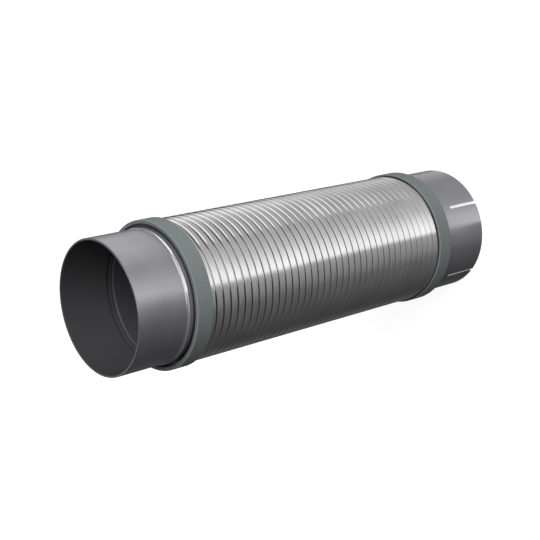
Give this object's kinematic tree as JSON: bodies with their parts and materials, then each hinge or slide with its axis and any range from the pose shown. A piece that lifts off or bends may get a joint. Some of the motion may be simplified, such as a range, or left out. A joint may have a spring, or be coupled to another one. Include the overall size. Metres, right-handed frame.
{
  "type": "exhaust flexible pipe",
  "caption": "Truck exhaust flexible pipe: interlocked stripwound steel hose with a collar at each end, a plain beaded cuff and an expanded, slotted cuff for a clamp.",
  "frame": {"origin": "centre of the slotted cuff's open end, which is the end the pipe stands on", "axes": "+Z along the pipe's axis from the slotted end to the plain end; one of the slots is at -Y"},
  "size_m": [0.142, 0.142, 0.46],
  "materials": {
    "hose_strip": "bright cold-rolled stainless strip, polished by the winding rollers",
    "cuff_steel": "welded steel tube, smooth and satin, bluish grey",
    "collar_steel": "matt grey-green phosphated steel band"
  },
  "bodies": {
    "root": {"flexible_hose": "hose_strip", "plain_cuff": "cuff_steel", "slotted_cuff": "cuff_steel", "plain_end_collar": "collar_steel", "slotted_end_collar": "collar_steel"}
  },
  "joints": []
}
